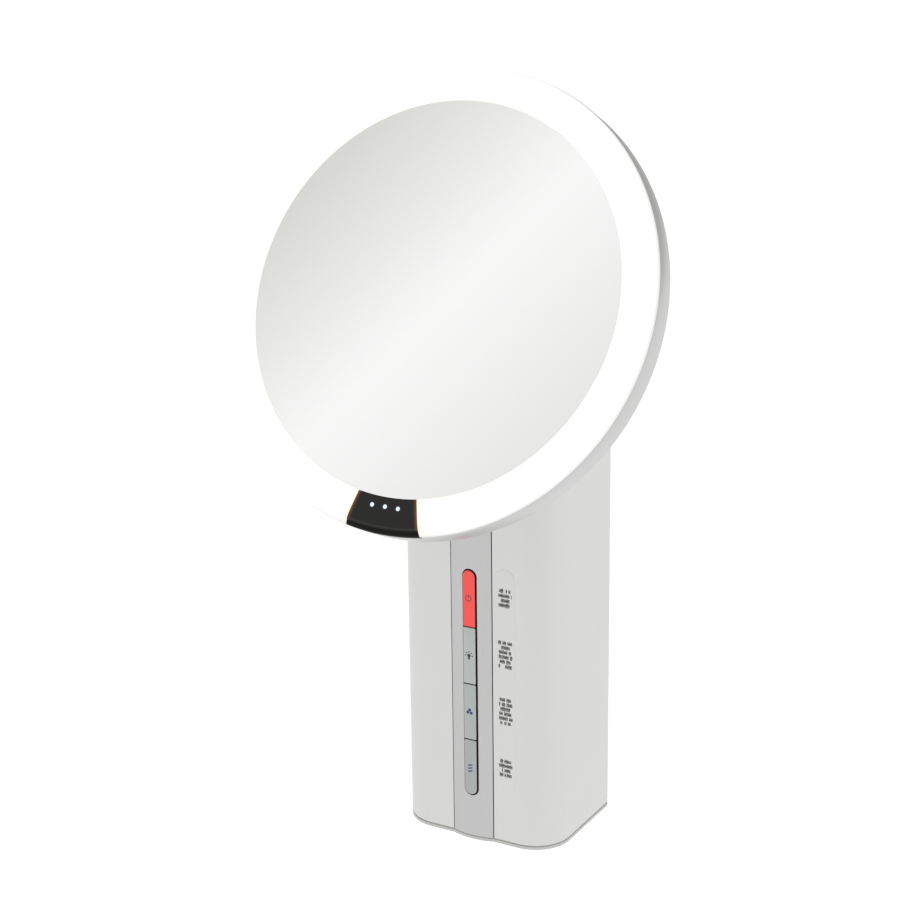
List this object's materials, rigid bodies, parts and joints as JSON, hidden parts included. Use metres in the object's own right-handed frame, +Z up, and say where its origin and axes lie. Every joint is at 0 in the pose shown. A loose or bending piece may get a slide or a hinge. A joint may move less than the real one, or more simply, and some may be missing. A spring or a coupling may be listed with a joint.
{
  "type": "lit shaving mirror on an extending column",
  "caption": "Round ring-lit shaving mirror that tilts on a mast telescoping out of an upright rounded column with a row of control keys on its front.",
  "frame": {"origin": "middle of the column's footprint, on the anti-slip pad's underside", "axes": "+Z up, -Y out of the front where the keys are, +X to the right of someone looking along +Y at the front"},
  "size_m": [0.2, 0.1345, 0.3494],
  "materials": {
    "anti_slip_pad": "moulded rubber",
    "back_plate": "plain",
    "ballast_weight": "as cast",
    "base_plate": "satin silver paint",
    "base_screw_back_left": "zinc plated",
    "base_screw_back_right": "zinc plated",
    "base_screw_front_left": "zinc plated",
    "base_screw_front_right": "zinc plated",
    "battery_cell_left": "sleeved",
    "battery_cell_right": "sleeved",
    "battery_holder": "moulded",
    "bracket_screw_1": "zinc plated",
    "bracket_screw_2": "zinc plated",
    "bracket_screw_3": "zinc plated",
    "bracket_screw_4": "zinc plated",
    "cap_screw_left": "zinc plated",
    "cap_screw_right": "zinc plated",
    "charge_port": "plated",
    "column_shell": "satin pearl",
    "control_strip": "fine satin",
    "diffuser_ring": "frosted white",
    "friction_washer_left": "plain",
    "friction_washer_right": "plain",
    "guide_bush": "moulded",
    "head_driver_board": "circuit board",
    "hinge_bracket": "satin",
    "hinge_cap_left": "satin",
    "hinge_cap_right": "satin",
    "hinge_pin": "ground",
    "hinge_yoke": "satin",
    "indicator_pipe": "clear",
    "inner_chassis": "moulded",
    "key_board": "circuit board",
    "key_level": "satin grey",
    "key_light": "satin grey",
    "key_power": "satin red",
    "key_tone": "satin grey",
    "label_panel": "matt print panel",
    "led_board": "white circuit board",
    "main_board": "circuit board",
    "mast_foot": "moulded",
    "mast_guide": "drawn tube",
    "mast_tube": "polished tube",
    "mirror_carrier": "moulded",
    "mirror_glass": "silvered",
    "rear_cover": "satin pearl",
    "reflector_tray": "white",
    "rim_band": "satin silver",
    "switch_level": "moulded",
    "switch_light": "moulded",
    "switch_power": "moulded",
    "switch_tone": "moulded",
    "tie_screw_left": "zinc plated",
    "tie_screw_right": "zinc plated",
    "top_cap": "satin pearl",
    "touch_board": "circuit board",
    "touch_window": "gloss black"
  },
  "bodies": {
    "column": {"anti_slip_pad": "anti_slip_pad", "base_plate": "base_plate", "ballast_weight": "ballast_weight", "column_shell": "column_shell", "label_panel": "label_panel", "control_strip": "control_strip", "switch_power": "switch_power", "switch_light": "switch_light", "switch_tone": "switch_tone", "switch_level": "switch_level", "key_board": "key_board", "top_cap": "top_cap", "inner_chassis": "inner_chassis", "battery_holder": "battery_holder", "battery_cell_left": "battery_cell_left", "battery_cell_right": "battery_cell_right", "main_board": "main_board", "charge_port": "charge_port", "mast_guide": "mast_guide", "guide_bush": "guide_bush", "base_screw_front_left": "base_screw_front_left", "base_screw_front_right": "base_screw_front_right", "base_screw_back_left": "base_screw_back_left", "base_screw_back_right": "base_screw_back_right", "tie_screw_left": "tie_screw_left", "tie_screw_right": "tie_screw_right", "cap_screw_left": "cap_screw_left", "cap_screw_right": "cap_screw_right"},
    "mast": {"mast_tube": "mast_tube", "mast_foot": "mast_foot", "hinge_yoke": "hinge_yoke", "hinge_pin": "hinge_pin", "friction_washer_left": "friction_washer_left", "friction_washer_right": "friction_washer_right", "hinge_cap_left": "hinge_cap_left", "hinge_cap_right": "hinge_cap_right"},
    "head": {"hinge_bracket": "hinge_bracket", "bracket_screw_1": "bracket_screw_1", "bracket_screw_2": "bracket_screw_2", "bracket_screw_3": "bracket_screw_3", "bracket_screw_4": "bracket_screw_4", "rear_cover": "rear_cover", "back_plate": "back_plate", "rim_band": "rim_band", "diffuser_ring": "diffuser_ring", "touch_window": "touch_window", "indicator_pipe": "indicator_pipe", "reflector_tray": "reflector_tray", "led_board": "led_board", "mirror_glass": "mirror_glass", "mirror_carrier": "mirror_carrier", "head_driver_board": "head_driver_board", "touch_board": "touch_board"},
    "key_power_body": {"key_power": "key_power"},
    "key_light_body": {"key_light": "key_light"},
    "key_tone_body": {"key_tone": "key_tone"},
    "key_level_body": {"key_level": "key_level"}
  },
  "joints": [
    {"name": "mast_slide", "type": "slide", "parent": "column", "child": "mast", "axis": [0, 0, 1], "range_m": [0, 0.09]},
    {"name": "head_tilt", "type": "hinge", "parent": "mast", "child": "head", "pos_m": [0, -0.012, 0.25], "axis": [-1, 0, 0], "range_deg": [-26.6, 38.4]},
    {"name": "key_power_press", "type": "slide", "parent": "column", "child": "key_power_body", "axis": [0, 1, 0], "range_m": [0, 0.0008], "stiffness_N_per_m": 450, "springref_m": -0.001},
    {"name": "key_light_press", "type": "slide", "parent": "column", "child": "key_light_body", "axis": [0, 1, 0], "range_m": [0, 0.0008], "stiffness_N_per_m": 450, "springref_m": -0.001},
    {"name": "key_tone_press", "type": "slide", "parent": "column", "child": "key_tone_body", "axis": [0, 1, 0], "range_m": [0, 0.0008], "stiffness_N_per_m": 450, "springref_m": -0.001},
    {"name": "key_level_press", "type": "slide", "parent": "column", "child": "key_level_body", "axis": [0, 1, 0], "range_m": [0, 0.0008], "stiffness_N_per_m": 450, "springref_m": -0.001}
  ]
}
